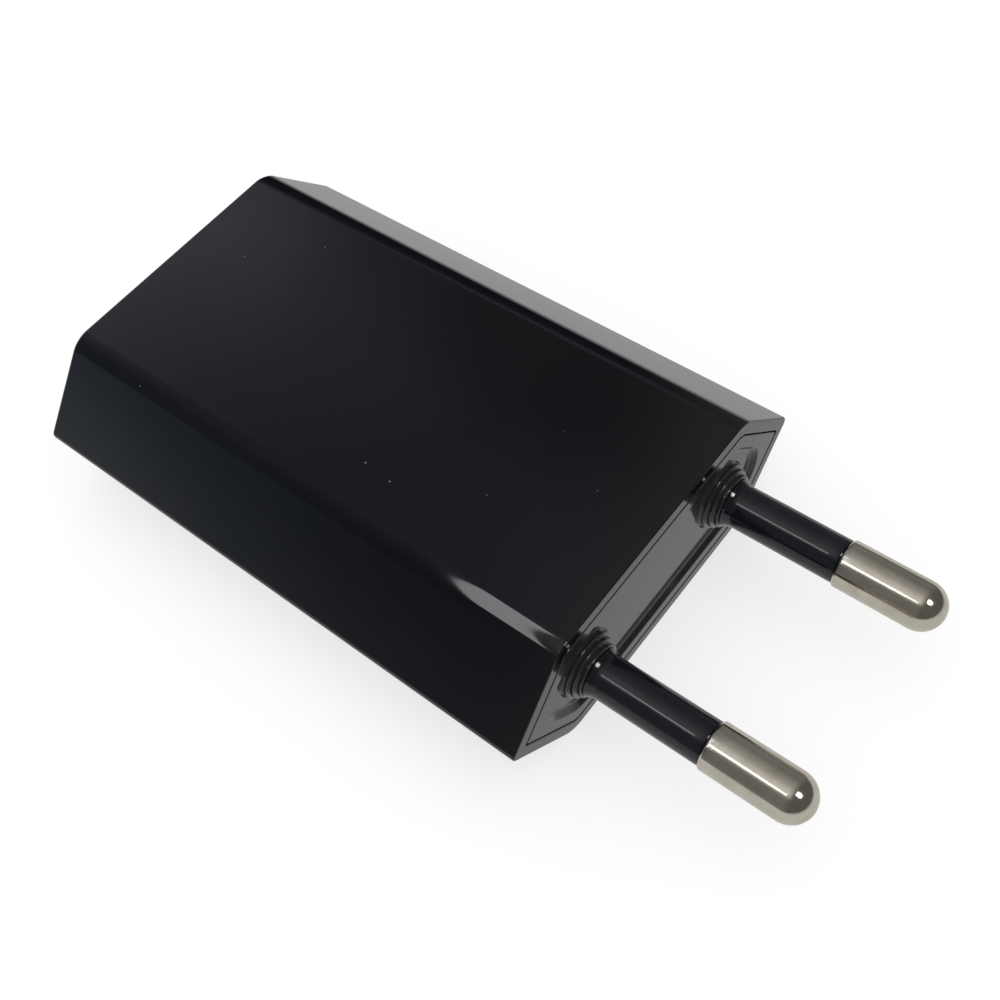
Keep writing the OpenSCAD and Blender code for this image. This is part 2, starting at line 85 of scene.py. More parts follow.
def choose(piece, kind, test):
    # edit mode with the chosen vertices, edges or faces selected by their place
    workOn(piece)
    bpy.ops.object.mode_set(mode="EDIT")
    bpy.ops.mesh.select_mode(type=kind)
    bpy.ops.mesh.select_all(action="DESELECT")
    mesh = bmesh.from_edit_mesh(piece.data)
    if kind == "VERT":
        for vert in mesh.verts:
            vert.select_set(test(vert.co))
    elif kind == "EDGE":
        for edge in mesh.edges:
            edge.select_set(test(edge.verts[0].co, edge.verts[1].co))
    else:
        for face in mesh.faces:
            face.select_set(test(face.calc_center_median(), face.normal))
    bmesh.update_edit_mesh(piece.data)


def done():
    bpy.ops.object.mode_set(mode="OBJECT")


def roundEdges(piece, test, offset, segments):
    choose(piece, "EDGE", test)
    bpy.ops.mesh.bevel(offset=offset, offset_type="OFFSET", segments=segments, profile=0.5,
        affect="EDGES", clamp_overlap=False)
    done()


def atBack(y):
    # picks the edges that lie in a piece's rear plane
    return lambda p, q: max(p.y, q.y) < y + slack


def atFront(y):
    return lambda p, q: min(p.y, q.y) > y - slack


def combine(piece, tool, how):
    # cuts a tool from a piece, or joins it on, and removes the tool
    workOn(piece)
    modifier = piece.modifiers.new("combine", "BOOLEAN")
    modifier.operation = how
    modifier.solver = "EXACT"
    modifier.object = tool
    bpy.ops.object.modifier_apply(modifier=modifier.name)
    bpy.data.objects.remove(tool)


def tidyMesh(piece, angle=32):
    # merged doubles, faces outwards, smooth up to an angle, flat faces shaded flat
    choose(piece, "VERT", lambda at: True)
    bpy.ops.mesh.remove_doubles(threshold=0.0008 * mm)
    bpy.ops.mesh.normals_make_consistent(inside=False)
    done()
    bpy.ops.object.shade_smooth_by_angle(angle=math.radians(angle))
    modifier = piece.modifiers.new("flatFaces", "WEIGHTED_NORMAL")
    modifier.keep_sharp = True
    modifier.weight = 90
    bpy.ops.object.modifier_apply(modifier=modifier.name)


def finish(piece, body, slot, material, *replaced):
    piece.data.materials.clear()
    piece.data.materials.append(material)
    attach(piece, body)
    if replaced:
        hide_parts(*replaced)


def box(name, low, high, cornerRadius=0, segments=3, along=1):
    # block between two corners, its edges along one axis rounded
    low, high = Vector(low), Vector(high)
    startClean()
    bpy.ops.mesh.primitive_cube_add(size=1, location=(low + high) / 2)
    bpy.context.active_object.scale = high - low
    piece = placeIn(name)
    if cornerRadius:
        roundEdges(piece, lambda a, b: abs((a - b).normalized()[along]) > 0.99,
            cornerRadius, segments)
    return piece


def lathe(name, profile, x, z, steps):
    # profile of (radius, y) points turned about a line along Y; a loop if it ends where it starts
    startClean()
    bpy.ops.mesh.primitive_plane_add(size=mm, location=(x + profile[0][0], profile[0][1], z))
    piece = placeIn(name)
    bpy.ops.object.mode_set(mode="EDIT")
    bpy.ops.mesh.select_mode(type="VERT")
    bpy.ops.mesh.select_all(action="SELECT")
    bpy.ops.mesh.merge(type="CENTER")
    for (r0, y0), (r1, y1) in zip(profile, profile[1:]):
        bpy.ops.mesh.extrude_region_move(TRANSFORM_OT_translate={"value": (r1 - r0, y1 - y0, 0)})
    bpy.ops.mesh.select_all(action="SELECT")
    bpy.ops.mesh.spin(steps=steps, angle=2 * math.pi, center=(x, 0, z), axis=(0, 1, 0))
    bpy.ops.mesh.select_all(action="SELECT")
    bpy.ops.mesh.remove_doubles(threshold=weldGap)
    bpy.ops.mesh.normals_make_consistent(inside=False)
    done()
    return piece


def arc(centre, radius, start, end, count):
    # (radius, y) points on an arc, its angles from the outward direction towards +Y
    turn = [math.radians(start + (end - start) * i / count) for i in range(count + 1)]
    return [(centre[0] + radius * math.cos(t), centre[1] + radius * math.sin(t)) for t in turn]


# Nodes of materials

def addNode(tree, kind, settings=None, **inputs):
    node = tree.nodes.new(kind)
    for key, value in (settings or {}).items():
        setattr(node, key, value)
    for key, value in inputs.items():
        socket = node.inputs[key.replace("_", " ")] if not key.startswith("at") else node.inputs[int(key[2:])]
        if isinstance(value, bpy.types.NodeSocket):
            tree.links.new(value, socket)
        else:
            socket.default_value = value
    return node


def maths(tree, how, first, second=0.0, third=0.0):
    return addNode(tree, "ShaderNodeMath", {"operation": how}, at0=first, at1=second, at2=third).outputs[0]


def scaleFor(tree, size):
    # scale of a texture whose features are this many millimetres wide
    return maths(tree, "DIVIDE", 1000.0, size)


def splitVector(tree, vector):
    return addNode(tree, "ShaderNodeSeparateXYZ", None, Vector=vector).outputs


def spread(tree, value, low, high, toLow=0.0, toHigh=1.0):
    node = addNode(tree, "ShaderNodeMapRange", None, at0=value, at1=low, at2=high, at3=toLow, at4=toHigh)
    return node.outputs[0]


def mixColour(tree, share, first, second):
    node = addNode(tree, "ShaderNodeMix", {"data_type": "RGBA"}, at0=share, at6=first, at7=second)
    return node.outputs[2]


def newGroup(name, inputs, outputs):
    tree = bpy.data.node_groups.new(name, "ShaderNodeTree")
    for label, kind, value in inputs:
        socket = tree.interface.new_socket(label, in_out="INPUT", socket_type="NodeSocket" + kind)
        if value is not None:
            socket.default_value = value
    for label, kind in outputs:
        tree.interface.new_socket(label, in_out="OUTPUT", socket_type="NodeSocket" + kind)
    return tree, addNode(tree, "NodeGroupInput").outputs, addNode(tree, "NodeGroupOutput").inputs


def makeHandlingMarks():
    # smudges, hairline scratches and dust, at sizes given in millimetres
    tree, given, result = newGroup("handlingMarks",
        [("Vector", "Vector", None), ("Smudge Size", "Float", 9.0), ("Scratch Size", "Float", 4.0),
         ("Dust Spacing", "Float", 2.6), ("Dust Size", "Float", 0.05)],
        [("Smudges", "Float"), ("Scratches", "Float"), ("Dust", "Float")])
    smudge = addNode(tree, "ShaderNodeTexNoise", None, Vector=given["Vector"],
        Scale=scaleFor(tree, given["Smudge Size"]), Detail=5.0, Roughness=0.62, Distortion=0.6)
    tree.links.new(spread(tree, smudge.outputs[0], 0.36, 0.66), result["Smudges"])
    lines = []
    for turn, stretch in ((0.5, 26.0), (2.2, 34.0)):
        mapped = addNode(tree, "ShaderNodeMapping", None, Vector=given["Vector"],
            Rotation=(0.3 * turn, 0.2, turn), Scale=(1.0, stretch, 1.0))
        noise = addNode(tree, "ShaderNodeTexNoise", None, Vector=mapped.outputs[0],
            Scale=scaleFor(tree, given["Scratch Size"]), Detail=3.0, Roughness=0.7)
        lines.append(spread(tree, noise.outputs[0], 0.70, 0.78))
    tree.links.new(maths(tree, "MAXIMUM", lines[0], lines[1]), result["Scratches"])
    specks = addNode(tree, "ShaderNodeTexVoronoi", None, Vector=given["Vector"],
        Scale=scaleFor(tree, given["Dust Spacing"]), Randomness=1.0)
    grain = addNode(tree, "ShaderNodeSeparateColor", None, Color=specks.outputs["Color"])
    reach = maths(tree, "MULTIPLY", maths(tree, "DIVIDE", given["Dust Size"], given["Dust Spacing"]),
        maths(tree, "ADD", grain.outputs[1], 0.4))
    near = maths(tree, "LESS_THAN", specks.outputs["Distance"], reach)
    facing = splitVector(tree, addNode(tree, "ShaderNodeNewGeometry").outputs["Normal"])
    upward = spread(tree, facing[2], 0.2, 0.8)
    kept = maths(tree, "GREATER_THAN", grain.outputs[0], 0.45)
    tree.links.new(maths(tree, "MULTIPLY", maths(tree, "MULTIPLY", near, kept), upward), result["Dust"])
    return tree


def makeMouldTexture():
    # uneven skin of a moulding: slow waves and fine grain, as one height
    tree, given, result = newGroup("mouldTexture",
        [("Vector", "Vector", None), ("Wave Size", "Float", 6.0), ("Wave Height", "Float", 1.0),
         ("Grain Size", "Float", 0.12), ("Grain Height", "Float", 0.1)],
        [("Height", "Float")])
    wave = addNode(tree, "ShaderNodeTexNoise", None, Vector=given["Vector"],
        Scale=scaleFor(tree, given["Wave Size"]), Detail=1.0)
    grain = addNode(tree, "ShaderNodeTexNoise", None, Vector=given["Vector"],
        Scale=scaleFor(tree, given["Grain Size"]), Detail=2.0)
    total = maths(tree, "ADD", maths(tree, "MULTIPLY", wave.outputs[0], given["Wave Height"]),
        maths(tree, "MULTIPLY", grain.outputs[0], given["Grain Height"]))
    tree.links.new(total, result["Height"])
    return tree


def makeTurnedLines():
    # fine rings left by turning about Y, broken up round the bar
    tree, given, result = newGroup("turnedLines",
        [("Vector", "Vector", None), ("Line Width", "Float", 0.08)], [("Lines", "Float")])
    mapped = addNode(tree, "ShaderNodeMapping", None, Vector=given["Vector"], Scale=(0.05, 1.0, 0.05))
    noise = addNode(tree, "ShaderNodeTexNoise", None, Vector=mapped.outputs[0],
        Scale=scaleFor(tree, given["Line Width"]), Detail=2.0, Roughness=0.6)
    tree.links.new(spread(tree, noise.outputs[0], 0.3, 0.7), result["Lines"])
    return tree


def makeInsideBox():
    # 1 inside the box between two corners, 0 outside
    tree, given, result = newGroup("insideBox", [("Vector", "Vector", None), ("Low", "Vector", None),
        ("High", "Vector", None)], [("Inside", "Float")])
    place, low, high = [splitVector(tree, given[label]) for label in ("Vector", "Low", "High")]
    share = 1.0
    for axis in range(3):
        above = maths(tree, "GREATER_THAN", place[axis], low[axis])
        below = maths(tree, "LESS_THAN", place[axis], high[axis])
        share = maths(tree, "MULTIPLY", maths(tree, "MULTIPLY", above, below), share)
    tree.links.new(share, result["Inside"])
    return tree


marksGroup = makeHandlingMarks()
mouldGroup = makeMouldTexture()
turnedGroup = makeTurnedLines()
insideGroup = makeInsideBox()


def placeGroup(tree, group, **inputs):
    return addNode(tree, "ShaderNodeGroup", {"node_tree": group}, **inputs)


def newMaterial(name):
    material = bpy.data.materials.new(name)
    material.use_nodes = True
    tree = material.node_tree
    tree.nodes.clear()
    shader = addNode(tree, "ShaderNodeBsdfPrincipled")
    output = addNode(tree, "ShaderNodeOutputMaterial")
    tree.links.new(shader.outputs[0], output.inputs[0])
    coords = addNode(tree, "ShaderNodeTexCoord").outputs["Object"]
    return material, tree, shader, coords


def colour(values):
    return (*values, 1.0)


def setNormal(tree, shader, height, depth):
    # bump of a depth in millimetres
    bump = addNode(tree, "ShaderNodeBump", None, Height=height, Distance=depth * mm, Strength=1.0)
    tree.links.new(bump.outputs[0], shader.inputs["Normal"])


def mouldHeight(tree, coords, wave, grain):
    # wave and grain are each a size in millimetres and a height
    skin = placeGroup(tree, mouldGroup, Vector=coords, Wave_Size=wave[0], Wave_Height=wave[1],
        Grain_Size=grain[0], Grain_Height=grain[1])
    return skin.outputs["Height"]


def smudgedRough(tree, marks, rough):
    return spread(tree, marks.outputs["Smudges"], 0.0, 1.0, rough[0], rough[1])


def addShare(tree, total, mark, share):
    return maths(tree, "ADD", total, maths(tree, "MULTIPLY", mark, share))


dustLook = dict(colour=(0.5, 0.49, 0.46), rough=0.4, spacing=2.6)


def plastic(name, look):
    material, tree, shader, coords = newMaterial(name)
    marks = placeGroup(tree, marksGroup, Vector=coords, Smudge_Size=look.get("smudge", 9.0),
        Dust_Size=look.get("dustSize", 0.05), Dust_Spacing=dustLook["spacing"])
    base = mixColour(tree, marks.outputs["Smudges"], colour(look["colour"]), colour(look["smudged"]))
    base = mixColour(tree, maths(tree, "MULTIPLY", marks.outputs["Dust"], look.get("dust", 0.0)),
        base, colour(dustLook["colour"]))
    tree.links.new(base, shader.inputs["Base Color"])
    rough = smudgedRough(tree, marks, look["rough"])
    rough = addShare(tree, rough, marks.outputs["Scratches"], look.get("scratch", 0.05))
    rough = addShare(tree, rough, marks.outputs["Dust"], dustLook["rough"])
    tree.links.new(rough, shader.inputs["Roughness"])
    setNormal(tree, shader, mouldHeight(tree, coords, look["wave"], look["grain"]), 0.01)
    shader.inputs["IOR"].default_value = look.get("ior", 1.5)
    return material


def metal(name, look):
    material, tree, shader, coords = newMaterial(name)
    marks = placeGroup(tree, marksGroup, Vector=coords, Smudge_Size=look.get("smudge", 3.0), Scratch_Size=2.0)
    base = mixColour(tree, marks.outputs["Smudges"], colour(look["colour"]), colour(look["tarnish"]))
    tree.links.new(base, shader.inputs["Base Color"])
    shader.inputs["Metallic"].default_value = 1.0
    rough = smudgedRough(tree, marks, look["rough"])
    rough = addShare(tree, rough, marks.outputs["Scratches"], look.get("scratch", 0.08))
    tree.links.new(rough, shader.inputs["Roughness"])
    if "lines" in look:
        height = placeGroup(tree, turnedGroup, Vector=coords, Line_Width=look["lines"]).outputs["Lines"]
    else:
        height = mouldHeight(tree, coords, look["wave"], look["grain"])
    setNormal(tree, shader, height, look.get("depth", 0.004))
    return material


caseLook = dict(colour=(0.0034, 0.0036, 0.0042), smudged=(0.0040, 0.0041, 0.0046), rough=(0.035, 0.065),
    scratch=0.03, dust=0.45, wave=(9.0, 0.35), grain=(0.5, 0.006), ior=1.52)
plateLook = dict(colour=(0.012, 0.012, 0.0125), smudged=(0.016, 0.016, 0.0165), rough=(0.085, 0.14),
    smudge=4.0, scratch=0.06, dust=0.6, wave=(3.0, 0.3), grain=(0.3, 0.24), ior=1.52)
sleeveLook = dict(colour=(0.004, 0.0046, 0.0080), smudged=(0.005, 0.006, 0.0095), rough=(0.09, 0.15),
    smudge=3.0, scratch=0.06, dust=0.5, dustSize=0.04, wave=(1.6, 0.25), grain=(0.16, 0.08), ior=1.5)
nickelLook = dict(colour=(0.64, 0.60, 0.525), tarnish=(0.55, 0.51, 0.43), rough=(0.09, 0.16), smudge=2.2,
    scratch=0.1, lines=0.07, depth=0.002)

caseBlack = plastic("caseBlack", caseLook)
plateBlack = plastic("plateBlack", plateLook)
sleeveBlack = plastic("sleeveBlack", sleeveLook)
pinNickel = metal("pinNickel", nickelLook)
shieldTin = metal("shieldTin", dict(colour=(0.66, 0.66, 0.65), tarnish=(0.54, 0.54, 0.52), rough=(0.2, 0.34),
    wave=(2.0, 0.4), grain=(0.08, 0.1)))
contactGold = metal("contactGold", dict(colour=(0.80, 0.58, 0.24), tarnish=(0.66, 0.46, 0.18),
    rough=(0.16, 0.3), wave=(1.0, 0.3), grain=(0.05, 0.1)))
tongueWhite = plastic("tongueWhite", dict(colour=(0.72, 0.72, 0.69), smudged=(0.62, 0.62, 0.59),
    rough=(0.38, 0.52), smudge=4.0, wave=(1.5, 0.4), grain=(0.1, 0.3)))
print("materials made")


# Case outline, shared by the case and the pin plate

outline = dict(flatWidth=23.6 * mm, edgeRadius=2.6 * mm, sideRadius=0.6 * mm, edgeSegments=10, sideSegments=5)
shellLow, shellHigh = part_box("outer_shell")
rearY, frontY = shellLow.y, shellHigh.y
midZ = (shellLow.z + shellHigh.z) / 2
halfThick = (shellHigh.z - shellLow.z) / 2


def findBevel():
    # angle of the side slopes: the sharp corner stands a little outside the rounded one
    angle = math.radians(46)
    for _ in range(20):
        halfWidth = shellHigh.x + outline["sideRadius"] * (1 / math.sin(angle) - 1)
        angle = math.atan2(halfThick, halfWidth - outline["flatWidth"] / 2)
    return angle, halfWidth


slope, halfWidth = findBevel()


def depthInside(at):
    # how far a point lies inside the sharp six-sided outline
    up = abs(at.z - midZ)
    return min(halfThick - up, (halfWidth - abs(at.x) - up / math.tan(slope)) * math.sin(slope))


def hexPrism(name, back, front, moveIn, edgeRadius, sideRadius):
    # six-sided bar along Y, its outline moved in, with rounded long edges
    wide = halfWidth - moveIn / math.sin(slope)
    high = halfThick - moveIn
    flat = wide - high / math.tan(slope)
    startClean()
    bpy.ops.mesh.primitive_cylinder_add(vertices=6, radius=wide, depth=front - back,
        location=(0, (front + back) / 2, midZ), rotation=(math.pi / 2, math.pi / 2, 0))
    piece = placeIn(name)
    choose(piece, "VERT", lambda at: abs(at.z - midZ) > 0.1 * wide)
    bpy.ops.transform.resize(value=(2 * flat / wide, 1, high / (wide * math.sin(math.pi / 3))),
        center_override=(0, 0, midZ))
    done()
    along = lambda p, q: abs((p - q).normalized().y) > 0.99
    roundEdges(piece, lambda p, q: along(p, q) and abs(p.z - midZ) > 0.5 * high,
        edgeRadius * math.tan(slope / 2), outline["edgeSegments"])
    roundEdges(piece, lambda p, q: along(p, q) and abs(p.z - midZ) < 0.01 * high,
        sideRadius / math.tan(slope), outline["sideSegments"])
    return piece


# Case: glossy six-sided sleeve, open at the front, with the usb opening in its end wall

case = dict(wall=1.5 * mm, endWall=1.8 * mm, rim=1.15 * mm, rearRound=0.35 * mm, frontRound=0.14 * mm,
    innerSide=0.2 * mm, innerRound=0.1 * mm, plateDeep=2.0 * mm, mouthRound=0.28 * mm, mouthCorner=0.45 * mm,
    ribIn=14.0 * mm, ribWide=1.7 * mm, ribFoot=0.25 * mm, ribTop=1.45 * mm, ribRound=0.15 * mm)
usbHalfW, usbHalfH = 6.25 * mm, 2.56 * mm


def makeCase():
    piece = hexPrism("outerCase", rearY, frontY, 0, outline["edgeRadius"], outline["sideRadius"])
    roundEdges(piece, atBack(rearY), case["rearRound"], 4)
    roundEdges(piece, atFront(frontY), case["frontRound"], 3)
    insideY = rearY + case["endWall"]
    for name, start, moveIn in (("cavity", insideY, case["wall"]),
        ("rebate", frontY - case["plateDeep"], case["rim"])):
        cutter = hexPrism(name, start, frontY + mm, moveIn, outline["edgeRadius"] - moveIn, case["innerSide"])
        combine(piece, cutter, "DIFFERENCE")
    opening = box("opening", (-usbHalfW, rearY - mm, midZ - usbHalfH),
        (usbHalfW, insideY + mm, midZ + usbHalfH), case["mouthCorner"], 5)
    combine(piece, opening, "DIFFERENCE")
    roundEdges(piece, lambda p, q: atBack(rearY)(p, q) and max(abs(p.x), abs(q.x)) < usbHalfW + 0.1 * mm,
        case["mouthRound"], 4)
    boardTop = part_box("circuit_board")[1]
    for side in (-1, 1):
        # rib above the edge of the board
        near, far = side * case["ribIn"], side * (case["ribIn"] + case["ribWide"])
        rib = box("rib", (min(near, far), insideY - 0.1 * mm, boardTop.z + case["ribFoot"]),
            (max(near, far), boardTop.y - mm, boardTop.z + case["ribTop"]), case["ribRound"], 2)
        combine(piece, rib, "UNION")
    roundEdges(piece, lambda p, q: atFront(frontY)(p, q)
        and min(depthInside(p), depthInside(q)) > case["rim"] - 0.05 * mm, case["innerRound"], 3)
    tidyMesh(piece)
    finish(piece, "charger", "case_black", caseBlack, "outer_shell")
    print("case", len(piece.data.polygons), "faces")


makeCase()


# Pin plate: dished front with three rings round each pin, and a skirt behind it
# dishSlope gives how far in and how far down each inset of the dish ends, in millimetres

plate = dict(seam=0.12 * mm, thick=2.0 * mm, border=1.0 * mm, dishDeep=0.45 * mm,
    dishSlope=[(0.04, 0.01), (0.08, 0.035), (0.12, 0.07), (0.36, 0.31), (0.42, 0.36), (0.5, 0.405),
    (0.6, 0.435), (0.72, 0.45)], dishCorner=2.6 * mm, dishSide=3.2 * mm, skirtLong=3.0 * mm,
    skirtWall=0.9 * mm, skirtGap=0.05 * mm, sideRadius=0.25 * mm, skirtCorner=1.05 * mm,
    hollowCorner=0.4 * mm, socketRadius=3.1 * mm, holeRadius=2.5 * mm, rings=3, ringSteps=64,
    rootWide=0.35 * mm, ringRadius=2.9 * mm, ringStep=0.3 * mm, ringHigh=0.42 * mm, ringRound=0.1 * mm,
    edgeRound=0.12 * mm)
pin = dict(pitch=18.0 * mm, radius=2.0 * mm, sleeveRadius=1.82 * mm, neckRadius=1.37 * mm, shoulder=0.25 * mm,
    tailRadius=1.2 * mm, tailRound=0.3 * mm, collarRadius=2.3 * mm, steps=96, sleeveLong=10.6 * mm,
    gap=0.02 * mm, flareRadius=2.1 * mm, flareLong=1.1 * mm, flareRows=8)
ringTop = frontY + (plate["rings"] - 1) * plate["ringHigh"]
plateBack = frontY - plate["thick"]
socketBack = plateBack - plate["skirtLong"]
sleeveSeat = plateBack + 0.5 * mm


def makeDish():
    # cutter for the dish: its inner end is inset in steps down a soft slope
    piece = hexPrism("dish", frontY, frontY + mm, case["rim"] + plate["seam"] + plate["border"],
        plate["dishCorner"], plate["dishSide"])
    choose(piece, "FACE", lambda at, normal: normal.y < -0.9)
    across, down = 0, 0
    for toAcross, toDown in plate["dishSlope"]:
        bpy.ops.mesh.inset(thickness=(toAcross - across) * mm, depth=(toDown - down) * mm,
            use_even_offset=True)
        across, down = toAcross, toDown
    done()
    return piece


def makeBoss(x):
    # rings round the pin, and the socket behind them that holds it
    floor = frontY - plate["dishDeep"]
    bore = pin["neckRadius"] + pin["gap"]
    seat = pin["sleeveRadius"] + pin["gap"]
    ringRadius, rounding = plate["ringRadius"], plate["ringRound"]
    rootRadius = ringRadius + plate["rootWide"]
    profile = [(bore, socketBack), (plate["socketRadius"], socketBack),
        (plate["socketRadius"], plateBack + 0.3 * mm), (rootRadius, plateBack + 0.3 * mm),
        (rootRadius, floor - 0.05 * mm), (ringRadius + 0.12 * mm, floor + 0.03 * mm),
        (ringRadius, floor + 0.2 * mm)]
    for i in range(plate["rings"]):
        outer = ringRadius - i * plate["ringStep"]
        top = frontY + i * plate["ringHigh"]
        profile += arc((outer - rounding, top - rounding), rounding, 0, 90, 4)
        if i < plate["rings"] - 1:
            inner = outer - plate["ringStep"]
            profile += [(inner + 0.06 * mm, top), (inner, top + 0.06 * mm)]
    profile += [(seat + 0.05 * mm, ringTop), (seat, ringTop - 0.05 * mm), (seat, sleeveSeat),
        (bore, sleeveSeat), (bore, socketBack)]
    return lathe("boss", profile, x, midZ, plate["ringSteps"])


def makePlate():
    moveIn = case["rim"] + plate["seam"]
    piece = hexPrism("pinPlate", plateBack, frontY, moveIn, outline["edgeRadius"] - moveIn,
        plate["sideRadius"])
    roundEdges(piece, atFront(frontY), plate["edgeRound"], 3)
    combine(piece, makeDish(), "DIFFERENCE")
    skirtIn = case["wall"] + plate["skirtGap"]
    skirt = hexPrism("skirt", socketBack, plateBack + 0.2 * mm, skirtIn, plate["skirtCorner"],
        plate["sideRadius"])
    hollow = hexPrism("hollow", socketBack - mm, plateBack, skirtIn + plate["skirtWall"],
        plate["hollowCorner"], plate["sideRadius"])
    combine(skirt, hollow, "DIFFERENCE")
    combine(piece, skirt, "UNION")
    for side in (-1, 1):
        x = side * pin["pitch"] / 2
        hole = lathe("hole", [(0, plateBack - mm), (plate["holeRadius"], plateBack - mm),
            (plate["holeRadius"], frontY + mm), (0, frontY + mm)], x, midZ, plate["ringSteps"])
        combine(piece, hole, "DIFFERENCE")
        combine(piece, makeBoss(x), "UNION")
    tidyMesh(piece)
    finish(piece, "charger", "plate_black", plateBlack, "pin_plate")
    print("pin plate", len(piece.data.polygons), "faces")


makePlate()


# Mains pins and their sleeves, turned about their own axes

def copyAcross(piece, name, shift):
    # second one of a pair, with its own mesh
    other = piece.copy()
    other.data = piece.data.copy()
    other.name = other.data.name = name
    bpy.context.scene.collection.objects.link(other)
    other.data.transform(Matrix.Translation((shift, 0, 0)))
    return other


def makePins():
    x = pin["pitch"] / 2
    low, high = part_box("right_pin")
    tail, tip = low.y, high.y
    neck, radius = pin["neckRadius"], pin["radius"]
    sleeveEnd = frontY + pin["sleeveLong"]
    collar = plateBack - 2 * mm
    profile = [(0, tail), (pin["tailRadius"] - pin["tailRound"], tail),
        (pin["tailRadius"], tail + pin["tailRound"]), (pin["tailRadius"], socketBack),
        (neck, socketBack + 0.2 * mm), (neck, collar), (pin["collarRadius"], collar),
        (pin["collarRadius"], collar + mm), (neck, collar + mm), (neck, sleeveEnd),
        (radius - pin["shoulder"], sleeveEnd)]
    profile += arc((radius - pin["shoulder"], sleeveEnd + pin["shoulder"]), pin["shoulder"], -90, 0, 6)[1:]
    # rows along the bare metal keep its faces short
    profile += [(radius, sleeveEnd + mm * k) for k in (1.5, 3.5, 5.2)]
    profile += arc((0, tip - radius), radius, 0, 90, 16)
    right = lathe("rightPin", profile, x, midZ, pin["steps"])
    tidyMesh(right, 40)
    bore, outer = neck + pin["gap"], pin["sleeveRadius"]
    start, end = sleeveSeat + pin["gap"], sleeveEnd - pin["gap"]
    profile = [(bore, start), (outer, start), (outer, ringTop + pin["gap"]),
        (pin["flareRadius"] - 0.06 * mm, ringTop + pin["gap"])]
    # the foot of the sleeve flares out in a soft curve
    for i in range(pin["flareRows"] + 1):
        t = i / pin["flareRows"]
        profile.append((outer + (pin["flareRadius"] - outer) * (1 - t) ** 2.4,
            ringTop + 0.1 * mm + (pin["flareLong"] - 0.1 * mm) * t))
    profile += [(outer, ringTop + 4 * mm), (outer, end - 1.2 * mm), (outer, end - 0.12 * mm),
        (outer - 0.04 * mm, end - 0.03 * mm), (outer - 0.12 * mm, end), (bore, end), (bore, start)]
    rightSleeve = lathe("rightPinSleeve", profile, x, midZ, pin["steps"])
    tidyMesh(rightSleeve, 40)
    left = copyAcross(right, "leftPin", -pin["pitch"])
    leftSleeve = copyAcross(rightSleeve, "leftPinSleeve", -pin["pitch"])
    for piece, node in ((right, "right_pin"), (left, "left_pin")):
        finish(piece, "charger", "pin_nickel", pinNickel, node)
    for piece, node in ((rightSleeve, "right_pin_sleeve"), (leftSleeve, "left_pin_sleeve")):
        finish(piece, "charger", "sleeve_black", sleeveBlack, node)
    print("pins and sleeves")


makePins()


# Usb socket: sheet-metal shield with windows for the latch fingers, and a moulded tongue

socket = dict(sheet=0.3 * mm, outerCorner=0.75 * mm, innerCorner=0.5 * mm, fingerX=3.2 * mm,
    windowWide=2.5 * mm, windowBack=1.35 * mm, windowLong=4.95 * mm, seamWide=0.08 * mm, legLong=2.0 * mm,
    legAt=9.0 * mm, contactX=[-3.5 * mm, -1.0 * mm, 1.0 * mm, 3.5 * mm], grooveWide=1.3 * mm,
    grooveDeep=0.92 * mm, armWide=1.04 * mm, armHigh=0.29 * mm, armDrop=0.35 * mm, tipRound=0.25 * mm,
    baseAt=9.5 * mm, tongueHigh=1.84 * mm, tongueWide=11.1 * mm, tongueUp=0.66 * mm, tongueCorner=0.35 * mm,
    windowCorner=0.2 * mm, seamFrom=2.4 * mm, legRound=0.4 * mm, lipRound=0.09 * mm, grooveFrom=0.6 * mm,
    baseCorner=0.3 * mm, baseRound=0.12 * mm)


def makeShield():
    low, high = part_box("usb_shield")
    outHalfW, outHalfH = high.x, high.z - midZ
    piece = box("usbShield", (-outHalfW, low.y, midZ - outHalfH), (outHalfW, high.y, midZ + outHalfH),
        socket["outerCorner"], 6)
    inner = box("inner", (-outHalfW + socket["sheet"], low.y - mm, midZ - outHalfH + socket["sheet"]),
        (outHalfW - socket["sheet"], high.y + mm, midZ + outHalfH - socket["sheet"]),
        socket["innerCorner"], 6)
    combine(piece, inner, "DIFFERENCE")
    for x in (-socket["fingerX"], socket["fingerX"]):
        back = low.y + socket["windowBack"]
        window = box("window", (x - socket["windowWide"] / 2, back, midZ - 2 * outHalfH),
            (x + socket["windowWide"] / 2, back + socket["windowLong"], midZ + 2 * outHalfH),
            socket["windowCorner"], 3, 2)
        combine(piece, window, "DIFFERENCE")
    slit = box("slit", (-socket["seamWide"] / 2, low.y + socket["seamFrom"], midZ - 2 * outHalfH),
        (socket["seamWide"] / 2, high.y + mm, midZ - outHalfH / 2))
    combine(piece, slit, "DIFFERENCE")
    for side in (-1, 1):
        x = side * (outHalfW - socket["sheet"] / 2)
        leg = box("leg", (x - socket["sheet"] / 2, low.y + socket["legAt"], low.z),
            (x + socket["sheet"] / 2, low.y + socket["legAt"] + socket["legLong"], midZ))
        roundEdges(leg, lambda p, q: max(p.z, q.z) < low.z + slack and abs(p.x - q.x) > 0.1 * mm,
            socket["legRound"], 2)
        combine(piece, leg, "UNION")
    roundEdges(piece, atBack(low.y), socket["lipRound"], 3)
    tidyMesh(piece)
    finish(piece, "charger", "shield_tin", shieldTin, "usb_shield")
    print("shield", len(piece.data.polygons), "faces")


